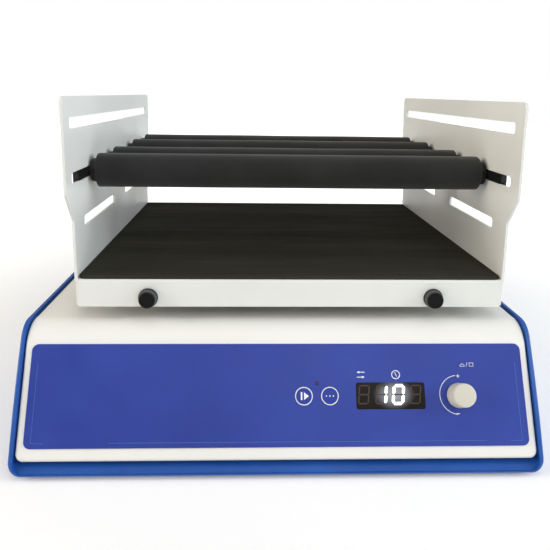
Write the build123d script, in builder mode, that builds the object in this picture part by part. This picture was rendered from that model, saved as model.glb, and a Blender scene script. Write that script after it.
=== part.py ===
from build123d import *
import os
from math import cos, pi, radians, sin, sqrt, tan

# Linear reciprocating platform shaker for flasks and bottles, in millimetres.
# Frame: +Z up, front towards -Y, right towards +X. The origin is on the bench, under the
# middle of the base. The platform stands at the right-hand end of its stroke.
# Each piece is modelled where it sits in the assembled machine.

os.makedirs("parts", exist_ok=True)

# ---------------------------------------------------------------- fits and gaps
running_gap = 0.05      # radial gap of a shaft in its bore
body_gap = 0.3          # gap between pieces that move past each other
seam_gap = 0.9          # gap between the cover and the base around it
screw_gap = 0.3         # radial gap of a screw in a plain hole
seat_gap = 0.1          # gap of a piece dropped into its pocket

# ---------------------------------------------------------------- base housing
foot_drop = 3.0         # feet hold the base this far off the bench
base_width = 392.0
base_depth = 420.0
rim_height = 98.5       # top of the base's side walls above its own underside
front_lean = 26.8       # lean of the front face from the vertical, degrees
front_bulge = 2.4       # how far the side walls' front edge bows out
plan_radius = 14.0      # upright corners at the rear of the base
crease_radius = 20.0    # bend of the rim from the slope to the level
base_wall = 3.4
base_floor = 3.5
base_side_round = 9.5   # lower edges of the base along both sides
base_rear_round = 4.0   # lower edge of the base at the rear
hollow_side_round = 7.0
rim_round = 1.6         # rounding along the outer edge of front, rim and rear
tip_trim = 0.77         # the rounding takes this much off the base's front edge
ledge_lip = 1.8         # flat lip along the front edge of the base
ledge_low = 1.8         # its height above the underside
ledge_back = 12.0       # the ledge rises inwards up to here
ledge_high = 7.0

# ---------------------------------------------------------------- cover
shell_wall = 3.0
shell_start = 9.4       # distance up the slope where the cover begins
shell_lift = 0.4        # cover face above the base's slope line
deck_drop = 1.5         # deck below the rim of the base
deck_radius = 26.0      # blend from the deck to the front face
shell_edge = 2.0        # rounding around the cover's front and deck
shell_corner = 5.5      # lower corners of the cover's front
jog_depth = 1.6         # the deck is this much narrower behind the console
jog_height = 9.0
jog_behind = 4.0        # distance of the jog behind the crease
post_slot_gap = 2.0     # gap around a carriage post in its deck slot

# ---------------------------------------------------------------- control panel
panel_thickness = 0.8
panel_side_margin = 5.5 # cover's face beside the panel
panel_height = 74.6
panel_radius = 5.0
panel_s = 56.8          # middle of the panel, distance up the slope
window_width = 52.2
window_height = 19.4
window_radius = 1.8
window_x = 83.7
control_s = 55.5        # middle of window, buttons and knob, distance up the slope
bezel = 2.0             # the cover's opening is this much smaller than the window all round
button_diameter = 13.2
start_x = 18.2
mode_x = 37.8
button_travel = 0.4
button_stem = 4.0
led_diameter = 2.4
led_x = 28.3
led_s = 64.6
knob_x = 135.4
knob_base = 18.6
knob_face = 17.2
knob_length = 15.0
knob_travel = 0.6
knob_flange_gap = 1.0   # knob above the panel at rest
encoder_shaft = 6.0
encoder_bushing = 9.0
encoder_body = 13.0
encoder_height = 6.5

board_depth = 16.0      # control board's front behind the cover's face
board_thickness = 1.6
board_left = 4.0
board_right = 152.0
board_height = 56.0
board_post = 6.0
display_margin = 0.5
switch_size = 6.0
switch_height = 4.0
connector_length = 22.0
connector_width = 8.0
connector_x = -40.0     # from the board's middle
controller_size = 14.0
controller_x = 10.0
chip_offset = 6.0       # connector above and controller below the board's middle line
board_parts_height = 4.0

# ---------------------------------------------------------------- platform
stroke = 20.0
platform_width = 335.0
platform_depth = 335.0
platform_y = 16.0       # middle of the platform, from the middle of the base
sheet = 2.0             # steel sheet of tray and pan
deck_clearance = 11.3   # from the deck up to the lower edge of the front lip
lip_height = 21.8
lip_inset = 2.2         # the lip stops short of the side plates' outer faces
bend_radius = 2.2
plate_height = 138.5    # side plate above the tray
plate_overhang = 17.0   # upper part of a side plate past the tray, front and rear
plate_step_low = 46.0
plate_step_high = 67.5
plate_corner = 6.0
plate_step_round = 4.0  # corner where the plate steps out
slot_height = 8.6
slot_corner = 3.2
slot_half_length = 168.5
upper_slot_z = 119.0
middle_slot_z = 78.0
lower_slot_z = 40.2
lower_slot_inner = 26.0
lower_slot_outer = 139.0

mat_thickness = 2.6
mat_side_margin = 0.3
mat_end_margin = 1.4
mat_radius = 4.5

pan_drop = 0.4          # pan's flanges end this far above the lip's lower edge
nut_diameter = 12.0
nut_length = 5.0

thumb_x = 111.7
thumb_below = 14.5      # axis below the tray's top face
thumb_base_diameter = 15.2
thumb_face_diameter = 12.2
thumb_length = 8.6
thumb_collar = 1.2
thumb_stud = 6.0
thumb_stud_length = 12.0
thumb_ridges = 30
ridge_depth = 0.5

# ---------------------------------------------------------------- rollers
roller_diameter = 28.4
roller_length = 319.0
roller_chamfer = 1.6
roller_y = (-111.2, -47.8, 47.6, 126.3)     # along the slots, from the platform's middle
spindle_diameter = 8.0
hub_diameter = 20.0
hub_proud = 4.9         # hub past the end of the foam
hub_taper = 0.6         # the hub's outer end is this much smaller in radius
hub_plug = 14.0         # hub's plug inside the foam
hub_plug_diameter = 16.0
slider_front = 39.0     # slider reaches this far in front of the roller's axis
slider_back = 9.0
slider_slack = 0.3      # gap over and under the slider in its slot
slider_flange = 2.2
slider_flange_proud = 2.4
slider_cover = 1.4      # material past the end of the spindle

# ---------------------------------------------------------------- feet and screws
foot_diameter = 28.0
foot_height = 5.0
foot_inset = 38.0       # foot's middle from the base's sides, front and rear
foot_boss = 34.0
foot_boss_height = 6.0
screw_diameter = 4.0
screw_head = 8.0
screw_head_height = 2.4
post_diameter_shell = 11.0
tray_boss_height = 24.0
closing_side_inset = 22.0       # closing screws from the base's sides
closing_front_inset = 98.0
closing_rear_inset = 24.0

# ---------------------------------------------------------------- drive
chassis_thickness = 2.0
chassis_pad = 3.0
chassis_pad_diameter = 16.0
chassis_length = 306.0
chassis_depth = 246.0
chassis_corner = 8.0
rod_diameter = 12.0
rod_length = 300.0
rod_spacing = 200.0
rod_axis = 48.0         # above the chassis plate
support_thickness = 14.0
support_width = 36.0
support_top = 12.0      # above the rod's axis
support_inset = 3.0     # rod end past the support
bearing_length = 36.0
bearing_width = 36.0
bearing_height = 26.0
bearing_spacing = 140.0
carriage_length = 210.0
carriage_depth = 268.0
carriage_thickness = 5.0
carriage_window = 34.0
post_diameter = 16.0
post_x = 86.0
post_y = 122.0

follower_diameter = 16.0
follower_height = 7.0
yoke_slack = 0.3        # beside the follower at the ends and the middle of the stroke
yoke_rise = 2.2         # extra width that the constant-ratio coupling needs
yoke_length = 62.0
yoke_width = 44.0
yoke_height = 10.0
crank_shaft = 12.0
crank_pin = 8.0
crank_disc = 40.0
crank_disc_thickness = 7.0
crank_housing_diameter = 40.0
crank_flange = 64.0
crank_flange_thickness = 5.0
crank_housing_height = 22.5
bearing_ring = 24.0
bearing_ring_height = 8.0
pulley_ratio = 3.0
driven_pulley_diameter = 66.0
pulley_height = 14.0
pulley_flange = 1.3
pulley_rim = 2.0        # flange past the belt's seat
belt_width = 10.0
belt_thickness = 1.5
motor_distance = 96.0   # from the crank, towards the left
motor_diameter = 62.0
motor_height = 18.0
motor_shaft = 8.0
motor_off_chassis = 1.5
bracket_thickness = 2.5
bracket_size = 84.0
bracket_leg = 10.0

# ---------------------------------------------------------------- mains side
inlet_inset = 76.0      # middle of the inlet from the base's left side
inlet_above = 38.0      # middle of the inlet above the base's underside
inlet_flange_width = 50.0
inlet_flange_height = 25.0
inlet_flange_thickness = 2.6
inlet_body_width = 27.4
inlet_body_height = 19.6
inlet_body_depth = 26.0
inlet_wall = 1.6
inlet_cavity_depth = 17.0
inlet_screw_spacing = 40.0
inlet_screw = 3.0
inlet_screw_head = 5.6
inlet_screw_length = 9.0
pin_width = 2.0
pin_height = 4.0
pin_spacing = 14.0
pin_offset = 1.6
pin_length = 14.0
supply_width = 112.0
supply_depth = 40.0
supply_height = 34.0
supply_gap_behind = 8.0

# ---------------------------------------------------------------- derived places
lean = radians(front_lean)
front_y = -base_depth / 2
rear_y = base_depth / 2
underside = foot_drop
rim_z = underside + rim_height
deck_z = rim_z - deck_drop
floor_z = underside + base_floor
shell_half_width = base_width / 2 - base_wall - seam_gap
shell_rear_y = rear_y - base_wall - seam_gap
crease_y = front_y + rim_height * tan(lean)
foot_x = base_width / 2 - foot_inset
foot_y = base_depth / 2 - foot_inset
closing_x = base_width / 2 - closing_side_inset
closing_front_y = front_y + closing_front_inset
closing_rear_y = rear_y - closing_rear_inset
inlet_x = inlet_inset - base_width / 2
panel_width = 2 * (shell_half_width - panel_side_margin)

rest_x = stroke / 2                     # platform at the right-hand end of its stroke
tray_top = deck_z + deck_clearance + lip_height
tray_under = tray_top - sheet
pan_top = tray_under
pan_under = pan_top - sheet
lip_bottom = tray_top - lip_height
plate_out = platform_width / 2          # outer face of a side plate, from the platform's middle
plate_in = plate_out - sheet
roller_z = tray_top + middle_slot_z

chassis_z = floor_z + chassis_pad
chassis_top = chassis_z + chassis_thickness
rod_z = chassis_top + rod_axis
bearing_top = rod_z + bearing_height / 2
carriage_top = bearing_top + carriage_thickness
crank_radius = stroke / 2
housing_top = chassis_top + crank_housing_height
pulley_z = housing_top + 1.0
crank_disc_z = pulley_z + pulley_height + body_gap
crank_disc_top = crank_disc_z + crank_disc_thickness
motor_pulley_diameter = driven_pulley_diameter / pulley_ratio
motor_x = -motor_distance


def front_point(s, lift=0.0):
    """Y and Z of a point on the sloped front, s up the slope and lift out of it."""
    return (front_y + s * sin(lean) - lift * cos(lean),
            underside + s * cos(lean) + lift * sin(lean))


def front_plane(x, s, lift=0.0):
    """Plane on the sloped front: local x is +X, local y up the slope, z outwards."""
    y, z = front_point(s, lift)
    return Plane(origin=(x, y, z), x_dir=(1, 0, 0), z_dir=(0, -cos(lean), sin(lean)))


def front_view(half_width, low, high, corner):
    """Long block as wide as the machine with its two lower edges rounded."""
    with BuildPart() as block:
        with BuildSketch(Plane.XZ) as outline:
            with Locations((0, (low + high) / 2)):
                Rectangle(2 * half_width, high - low)
            fillet(outline.vertices().group_by(Axis.Y)[0], corner)
        extrude(amount=base_depth, both=True)
    return block.part


def plan_view(half_width, rear, corner):
    """Tall block reaching past the front, with its rear corners rounded."""
    with BuildPart() as block:
        with BuildSketch() as outline:
            with Locations((0, (rear - base_depth) / 2)):
                Rectangle(2 * half_width, rear + base_depth)
            fillet(outline.vertices().group_by(Axis.Y)[-1], corner)
        extrude(amount=2 * rim_z)
    return block.part


def outer_edges(block, width):
    """Edges round the front, bend and top of a block, without the lines across it."""
    upper = [face for face in block.faces() if face.normal_at().Z > 0.1]
    return [edge for face in upper for edge in face.edges()
            if abs(edge.tangent_at(0.5).X) < 0.99 or edge.length < width - 1.0]


def save(part, name):
    part.label = name
    export_step(part, f"parts/{name}.step")


# ================================================================ base tray
closing_places = [(x, y) for x in (-closing_x, closing_x)
                  for y in (closing_front_y, closing_rear_y)]
foot_places = [(x, y) for x in (-foot_x, foot_x) for y in (-foot_y, foot_y)]
chassis_pad_places = [(x, platform_y + y)
                      for x in (-chassis_length / 2 + chassis_pad_diameter / 2,
                                chassis_length / 2 - chassis_pad_diameter / 2)
                      for y in (-chassis_depth / 2 + chassis_pad_diameter / 2, 0,
                                chassis_depth / 2 - chassis_pad_diameter / 2)]
inlet_z = underside + inlet_above

mid_s = rim_height / cos(lean) / 2
bulge_point = front_point(mid_s, front_bulge)

with BuildPart() as tray_hollow:
    with BuildSketch(Plane.YZ):
        with BuildLine():
            Polyline(
                (front_y + ledge_back, floor_z),
                (front_y + ledge_back, underside + ledge_high),
                (front_y + ledge_lip, underside + ledge_low),
                (front_y - base_wall, underside + ledge_low),
                (front_y - base_wall, rim_z + base_wall),
                (rear_y - base_wall, rim_z + base_wall),
                (rear_y - base_wall, floor_z),
                close=True,
            )
        make_face()
    extrude(amount=base_width / 2 - base_wall, both=True)
    add(plan_view(base_width / 2 - base_wall, rear_y - base_wall, plan_radius - base_wall),
        mode=Mode.INTERSECT)
    add(front_view(base_width / 2 - base_wall, underside + ledge_low, rim_z + base_wall,
                   hollow_side_round), mode=Mode.INTERSECT)

with BuildPart() as base_tray:
    with BuildSketch(Plane.YZ) as side_outline:
        with BuildLine():
            ThreePointArc((front_y - tip_trim, underside), bulge_point, (crease_y, rim_z))
            Polyline((crease_y, rim_z), (rear_y, rim_z), (rear_y, underside),
                     (front_y - tip_trim, underside))
        make_face()
        fillet(side_outline.vertices().group_by(Axis.Y)[-1].sort_by(Axis.X)[0], crease_radius)
        fillet(side_outline.vertices().group_by(Axis.Y)[0].sort_by(Axis.X)[-1],
               base_rear_round)
    extrude(amount=base_width / 2, both=True)
    add(plan_view(base_width / 2, rear_y, plan_radius), mode=Mode.INTERSECT)
    add(front_view(base_width / 2, underside, rim_z, base_side_round), mode=Mode.INTERSECT)
    fillet(outer_edges(base_tray, base_width), rim_round)
    add(tray_hollow.part, mode=Mode.SUBTRACT)
    # raised pads for the feet, the chassis plate and the closing screws
    with BuildSketch(Plane.XY.offset(floor_z)):
        with Locations(*foot_places):
            Circle(foot_boss / 2)
    extrude(amount=foot_boss_height)
    with BuildSketch(Plane.XY.offset(floor_z)):
        with Locations(*chassis_pad_places):
            Circle(chassis_pad_diameter / 2)
    extrude(amount=chassis_pad)
    with BuildSketch(Plane.XY.offset(floor_z)):
        with Locations(*closing_places):
            Circle(post_diameter_shell / 2)
    extrude(amount=tray_boss_height)
    # seats for the feet and holes for their screws
    with BuildSketch(Plane.XY.offset(underside)):
        with Locations(*foot_places):
            Circle(foot_diameter / 2 + seat_gap)
    extrude(amount=foot_height - foot_drop, mode=Mode.SUBTRACT)
    with BuildSketch(Plane.XY.offset(underside)):
        with Locations(*foot_places):
            Circle(screw_diameter / 2 + running_gap)
    extrude(amount=base_floor + foot_boss_height - 1.0, mode=Mode.SUBTRACT)
    # closing screws: counterbored from below
    with BuildSketch(Plane.XY.offset(underside)):
        with Locations(*closing_places):
            Circle(screw_head / 2 + screw_gap)
    extrude(amount=screw_head_height + 0.6, mode=Mode.SUBTRACT)
    with BuildSketch(Plane.XY.offset(underside)):
        with Locations(*closing_places):
            Circle(screw_diameter / 2 + screw_gap)
    extrude(amount=base_floor + tray_boss_height, mode=Mode.SUBTRACT)
    # recess and opening for the mains inlet
    with BuildSketch(Plane.XZ.offset(-rear_y)):
        with Locations((inlet_x, inlet_z)):
            Rectangle(inlet_flange_width + 2 * seat_gap, inlet_flange_height + 2 * seat_gap)
    extrude(amount=inlet_flange_thickness, mode=Mode.SUBTRACT)
    with BuildSketch(Plane.XZ.offset(-rear_y)):
        with Locations((inlet_x, inlet_z)):
            Rectangle(inlet_body_width + 2 * seat_gap, inlet_body_height + 2 * seat_gap)
        with Locations((inlet_x - inlet_screw_spacing / 2, inlet_z),
                       (inlet_x + inlet_screw_spacing / 2, inlet_z)):
            Circle(inlet_screw / 2 + running_gap)
    extrude(amount=base_wall + 1.0, mode=Mode.SUBTRACT)
save(base_tray.part, "base_tray")

# ================================================================ cover
shell_bottom_y, shell_bottom_z = front_point(shell_start, shell_lift)
deck_s = (deck_z - underside - shell_lift * sin(lean)) / cos(lean)
deck_front_y = front_point(deck_s, shell_lift)[0]
shell_plan_radius = plan_radius - base_wall - seam_gap
jog_y = deck_front_y + deck_radius * tan(radians(90 - front_lean) / 2) + jog_behind
post_places = [(x, platform_y + y) for x in (-post_x, post_x) for y in (-post_y, post_y)]
board_middle_x = (board_left + board_right) / 2
board_post_places = [(x, y) for x in (board_left + board_post, board_right - board_post)
                     for y in (-board_height / 2 + board_post, board_height / 2 - board_post)]

with BuildPart() as shell_hollow:
    with BuildSketch(Plane.YZ) as hollow_outline:
        with BuildLine():
            slope_in = shell_bottom_y + shell_wall / cos(lean)
            Polyline(
                (slope_in - (shell_bottom_z - underside) * tan(lean), underside),
                (slope_in + (deck_z - shell_wall - shell_bottom_z) * tan(lean),
                 deck_z - shell_wall),
                (shell_rear_y - shell_wall, deck_z - shell_wall),
                (shell_rear_y - shell_wall, underside),
                close=True,
            )
        make_face()
        fillet(hollow_outline.vertices().group_by(Axis.Y)[-1].sort_by(Axis.X)[0],
               deck_radius - shell_wall)
    extrude(amount=shell_half_width - shell_wall, both=True)
    add(plan_view(shell_half_width - shell_wall, shell_rear_y - shell_wall,
                  shell_plan_radius - shell_wall), mode=Mode.INTERSECT)

with BuildPart() as top_shell:
    with BuildSketch(Plane.YZ) as shell_outline:
        with BuildLine():
            Polyline(
                (shell_bottom_y, shell_bottom_z),
                (deck_front_y, deck_z),
                (shell_rear_y, deck_z),
                (shell_rear_y, shell_bottom_z),
                close=True,
            )
        make_face()
        fillet(shell_outline.vertices().group_by(Axis.Y)[-1].sort_by(Axis.X)[0], deck_radius)
    extrude(amount=shell_half_width, both=True)
    add(plan_view(shell_half_width, shell_rear_y, shell_plan_radius), mode=Mode.INTERSECT)
    add(front_view(shell_half_width, shell_bottom_z, deck_z, shell_corner),
        mode=Mode.INTERSECT)
    fillet(outer_edges(top_shell, 2 * shell_half_width), shell_edge)
    add(shell_hollow.part, mode=Mode.SUBTRACT)
    # the deck behind the console is a little narrower on both sides
    with BuildSketch(Plane.XY.offset(deck_z)):
        for side in (-1, 1):
            with Locations((side * shell_half_width, (jog_y + shell_rear_y) / 2)):
                Rectangle(2 * jog_depth, shell_rear_y - jog_y)
    extrude(amount=-jog_height, mode=Mode.SUBTRACT)
    # screw posts under the deck and board posts behind the front
    with BuildSketch(Plane.XY.offset(floor_z + tray_boss_height)):
        with Locations(*closing_places):
            Circle(post_diameter_shell / 2)
    extrude(amount=deck_z - shell_wall - floor_z - tray_boss_height)
    with BuildSketch(front_plane(0, control_s, shell_lift - board_depth)):
        with Locations(*board_post_places):
            Circle(board_post / 2)
    extrude(amount=board_depth - shell_wall)
    # slots in the deck for the carriage posts
    with BuildSketch(Plane.XY.offset(deck_z)):
        with Locations(*post_places):
            SlotCenterToCenter(stroke, post_diameter + 2 * post_slot_gap)
    extrude(amount=-shell_wall, mode=Mode.SUBTRACT)
    # openings behind the panel: display, buttons, lamp and knob
    with BuildSketch(front_plane(0, control_s, shell_lift)):
        with Locations((window_x, 0)):
            Rectangle(window_width - 2 * bezel, window_height - 2 * bezel)
        with Locations((start_x, 0), (mode_x, 0)):
            Circle(button_stem / 2 + body_gap)
        with Locations((led_x, led_s - control_s)):
            Circle(led_diameter / 2 + seat_gap)
        with Locations((knob_x, 0)):
            Circle(encoder_bushing / 2 + seat_gap)
    extrude(amount=-shell_wall, mode=Mode.SUBTRACT)
    with BuildSketch(front_plane(0, control_s, shell_lift)):
        with Locations((start_x, 0), (mode_x, 0)):
            Circle(button_diameter / 2 + body_gap)
    extrude(amount=-button_travel - body_gap, mode=Mode.SUBTRACT)
    # pilot holes for the closing screws
    with BuildSketch(Plane.XY.offset(floor_z + tray_boss_height)):
        with Locations(*closing_places):
            Circle(screw_diameter / 2 + running_gap)
    extrude(amount=12.0, mode=Mode.SUBTRACT)
    # way through the rear wall for the mains inlet
    with BuildSketch(Plane.XZ.offset(-shell_rear_y)):
        with Locations((inlet_x, inlet_z)):
            Rectangle(inlet_flange_width, inlet_flange_height)
    extrude(amount=shell_wall, mode=Mode.SUBTRACT)
save(top_shell.part, "top_shell")

# ================================================================ control panel
panel_lift = shell_lift + panel_thickness

with BuildPart() as control_panel:
    with BuildSketch(front_plane(0, panel_s, shell_lift)):
        RectangleRounded(panel_width, panel_height, panel_radius)
        with Locations((window_x, control_s - panel_s)):
            RectangleRounded(window_width + 2 * seat_gap, window_height + 2 * seat_gap,
                             window_radius + seat_gap, mode=Mode.SUBTRACT)
        with Locations((start_x, control_s - panel_s), (mode_x, control_s - panel_s)):
            Circle(button_diameter / 2 + body_gap, mode=Mode.SUBTRACT)
        with Locations((led_x, led_s - panel_s)):
            Circle(led_diameter / 2 + seat_gap, mode=Mode.SUBTRACT)
        with Locations((knob_x, control_s - panel_s)):
            Circle(encoder_bushing / 2 + seat_gap, mode=Mode.SUBTRACT)
    extrude(amount=panel_thickness)
save(control_panel.part, "control_panel")

with BuildPart() as display_window:
    with BuildSketch(front_plane(window_x, control_s, shell_lift)):
        RectangleRounded(window_width, window_height, window_radius)
    extrude(amount=panel_thickness)
save(display_window.part, "display_window")

with BuildPart() as display_module:
    with BuildSketch(front_plane(window_x, control_s, shell_lift - board_depth)):
        Rectangle(window_width - 2 * bezel - 2 * display_margin,
                  window_height - 2 * bezel - 2 * display_margin)
    extrude(amount=board_depth)
save(display_module.part, "display_module")

with BuildPart() as control_board:
    with BuildSketch(front_plane(board_middle_x, control_s, shell_lift - board_depth)):
        RectangleRounded(board_right - board_left, board_height, 2.0)
    extrude(amount=-board_thickness)
    # key switches under the two buttons, stopping short of their stems
    with BuildSketch(front_plane(0, control_s, shell_lift - board_depth)):
        with Locations((start_x, 0), (mode_x, 0)):
            Rectangle(switch_size, switch_size)
    extrude(amount=switch_height)
    # connector and controller on the back
    with BuildSketch(front_plane(board_middle_x, control_s,
                                 shell_lift - board_depth - board_thickness)):
        with Locations((connector_x, chip_offset)):
            Rectangle(connector_length, connector_width)
        with Locations((controller_x, -chip_offset)):
            Rectangle(controller_size, controller_size)
    extrude(amount=-board_parts_height)
save(control_board.part, "control_board")

with BuildPart() as status_led:
    with BuildSketch(front_plane(led_x, led_s, shell_lift - board_depth)):
        Circle(led_diameter / 2)
    extrude(amount=board_depth + panel_thickness)
    fillet(status_led.edges().sort_by(Axis.Y)[0], led_diameter / 4)
save(status_led.part, "status_led")

# ---------------------------------------------------------------- encoder, stem and knob
stem_low = shell_lift - board_depth + 1.0 + knob_travel + body_gap
with BuildPart() as rotary_encoder:
    with BuildSketch(front_plane(knob_x, control_s, shell_lift - board_depth)):
        Rectangle(encoder_body, encoder_body)
    extrude(amount=encoder_height)
    with BuildSketch(front_plane(knob_x, control_s,
                                 shell_lift - board_depth + encoder_height)):
        Circle(encoder_bushing / 2)
    extrude(amount=board_depth - encoder_height + panel_thickness)
    with BuildSketch(front_plane(knob_x, control_s, shell_lift - board_depth + 1.0)):
        Circle(encoder_shaft / 2 + running_gap)
    extrude(amount=board_depth + panel_thickness, mode=Mode.SUBTRACT)
save(rotary_encoder.part, "rotary_encoder")

collar_depth = 2.0
with BuildPart() as encoder_stem:
    with BuildSketch(front_plane(knob_x, control_s, stem_low)):
        Circle(encoder_shaft / 2)
    extrude(amount=collar_depth)
save(encoder_stem.part, "encoder_stem")

knob_low = panel_lift + knob_flange_gap
with BuildPart() as control_knob:
    with BuildSketch(front_plane(knob_x, control_s, knob_low)):
        Circle(knob_base / 2)
    with BuildSketch(front_plane(knob_x, control_s, knob_low + knob_length)):
        Circle(knob_face / 2)
    loft()
    chamfer(control_knob.edges().filter_by(GeomType.CIRCLE).sort_by(SortBy.RADIUS)[0], 0.7)
    with BuildSketch(front_plane(knob_x, control_s, stem_low + collar_depth)):
        Circle(encoder_shaft / 2)
    extrude(amount=knob_low + knob_length / 2 - stem_low - collar_depth)
save(control_knob.part, "control_knob")

# ---------------------------------------------------------------- push buttons
for name, x in (("start_button", start_x), ("mode_button", mode_x)):
    with BuildPart() as button:
        with BuildSketch(front_plane(x, control_s, shell_lift)):
            Circle(button_diameter / 2)
        extrude(amount=panel_thickness)
        with BuildSketch(front_plane(x, control_s, shell_lift)):
            Circle(button_stem / 2)
        extrude(amount=-(board_depth - switch_height - button_travel - body_gap))
    save(button.part, name)

# ================================================================ feet and screws
with BuildPart() as rubber_feet:
    with BuildSketch():
        with Locations(*foot_places):
            Circle(foot_diameter / 2)
    extrude(amount=foot_height)
    with BuildSketch():
        with Locations(*foot_places):
            Circle(screw_head / 2 + screw_gap)
    extrude(amount=screw_head_height, mode=Mode.SUBTRACT)
    with BuildSketch():
        with Locations(*foot_places):
            Circle(screw_diameter / 2 + screw_gap)
    extrude(amount=foot_height, mode=Mode.SUBTRACT)
save(rubber_feet.part, "rubber_feet")


def pan_screws(places, seat_z, shank_length):
    """Pan-head screws pointing up, with their heads' bearing faces at seat_z."""
    with BuildPart() as screws:
        with BuildSketch(Plane.XY.offset(seat_z - screw_head_height + 0.6)):
            with Locations(*places):
                Circle(screw_head / 2)
        extrude(amount=screw_head_height - 0.6)
        with BuildSketch(Plane.XY.offset(seat_z)):
            with Locations(*places):
                Circle(screw_diameter / 2)
        extrude(amount=shank_length)
    return screws.part


save(pan_screws(foot_places, screw_head_height, foot_height - screw_head_height
                + foot_boss_height), "foot_screws")
save(pan_screws(closing_places, underside + screw_head_height + 0.6,
                base_floor + tray_boss_height - screw_head_height + 8.0), "closing_screws")

# ================================================================ chassis and guide rods
with BuildPart() as chassis_plate:
    with BuildSketch(Plane.XY.offset(chassis_z)):
        with Locations((0, platform_y)):
            RectangleRounded(chassis_length, chassis_depth, chassis_corner)
    extrude(amount=chassis_thickness)
save(chassis_plate.part, "chassis_plate")

rod_places = [platform_y - rod_spacing / 2, platform_y + rod_spacing / 2]
support_x = rod_length / 2 - support_inset - support_thickness / 2

with BuildPart() as guide_rods:
    with BuildSketch(Plane.YZ):
        with Locations(*[(y, rod_z) for y in rod_places]):
            Circle(rod_diameter / 2)
    extrude(amount=rod_length / 2, both=True)
save(guide_rods.part, "guide_rods")

with BuildPart() as rod_supports:
    for x in (-support_x, support_x):
        with BuildSketch(Plane.YZ.offset(x - support_thickness / 2)):
            for y in rod_places:
                support_height = rod_z + support_top - chassis_top
                with Locations((y, chassis_top + support_height / 2)):
                    Rectangle(support_width, support_height)
                with Locations((y, rod_z)):
                    Circle(rod_diameter / 2 + running_gap, mode=Mode.SUBTRACT)
        extrude(amount=support_thickness)
save(rod_supports.part, "rod_supports")

# ================================================================ carriage
with BuildPart() as linear_bearings:
    for x in (rest_x - bearing_spacing / 2, rest_x + bearing_spacing / 2):
        with BuildSketch(Plane.YZ.offset(x - bearing_length / 2)):
            with Locations(*[(y, rod_z) for y in rod_places]):
                Rectangle(bearing_width, bearing_height)
                Circle(rod_diameter / 2 + running_gap, mode=Mode.SUBTRACT)
        extrude(amount=bearing_length)
save(linear_bearings.part, "linear_bearings")

with BuildPart() as carriage_plate:
    with BuildSketch(Plane.XY.offset(bearing_top)):
        with Locations((rest_x, platform_y)):
            RectangleRounded(carriage_length, carriage_depth, chassis_corner)
            with GridLocations(0, rod_spacing - bearing_width - carriage_window - 4.0, 1, 2):
                RectangleRounded(carriage_window, carriage_window, chassis_corner,
                                 mode=Mode.SUBTRACT)
    extrude(amount=carriage_thickness)
save(carriage_plate.part, "carriage_plate")

carriage_posts_at = [(rest_x + x, y) for x, y in post_places]
with BuildPart() as carriage_posts:
    with BuildSketch(Plane.XY.offset(carriage_top)):
        with Locations(*carriage_posts_at):
            Circle(post_diameter / 2)
    extrude(amount=pan_under - carriage_top)
save(carriage_posts.part, "carriage_posts")

yoke_slot_width = follower_diameter + 2 * (yoke_slack + yoke_rise)
with BuildPart() as yoke:
    with BuildSketch(Plane.XY.offset(bearing_top - yoke_height)):
        with Locations((rest_x, platform_y)):
            RectangleRounded(yoke_width, yoke_length, 4.0)
            Rectangle(yoke_slot_width, 2 * crank_radius + follower_diameter
                      + 2 * (yoke_slack + yoke_rise), mode=Mode.SUBTRACT)
    extrude(amount=yoke_height)
save(yoke.part, "yoke")

thumb_z = tray_top - thumb_below
pan_half_depth = platform_depth / 2 - sheet - body_gap
flange_height = lip_height - sheet - pan_drop
with BuildPart() as carriage_pan:
    with BuildSketch(Plane.XY.offset(pan_under)):
        with Locations((rest_x, platform_y)):
            Rectangle(platform_width, 2 * pan_half_depth)
    extrude(amount=sheet)
    # flanges folded down along all four sides
    with BuildSketch(Plane.XY.offset(pan_top)):
        with Locations((rest_x, platform_y)):
            Rectangle(platform_width, 2 * pan_half_depth)
            Rectangle(platform_width - 2 * sheet, 2 * pan_half_depth - 2 * sheet,
                      mode=Mode.SUBTRACT)
    extrude(amount=-flange_height)
    # weld nuts behind the front and rear flanges
    for side in (-1, 1):
        nut_face = platform_y + side * (pan_half_depth - sheet)
        with BuildSketch(Plane.XZ.offset(-nut_face)):
            with Locations((rest_x - thumb_x, thumb_z), (rest_x + thumb_x, thumb_z)):
                RegularPolygon(nut_diameter / 2, 6)
        extrude(amount=side * nut_length)
        with BuildSketch(Plane.XZ.offset(-platform_y - side * pan_half_depth)):
            with Locations((rest_x - thumb_x, thumb_z), (rest_x + thumb_x, thumb_z)):
                Circle(thumb_stud / 2 + running_gap)
        extrude(amount=side * (sheet + nut_length), mode=Mode.SUBTRACT)
save(carriage_pan.part, "carriage_pan")

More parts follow.
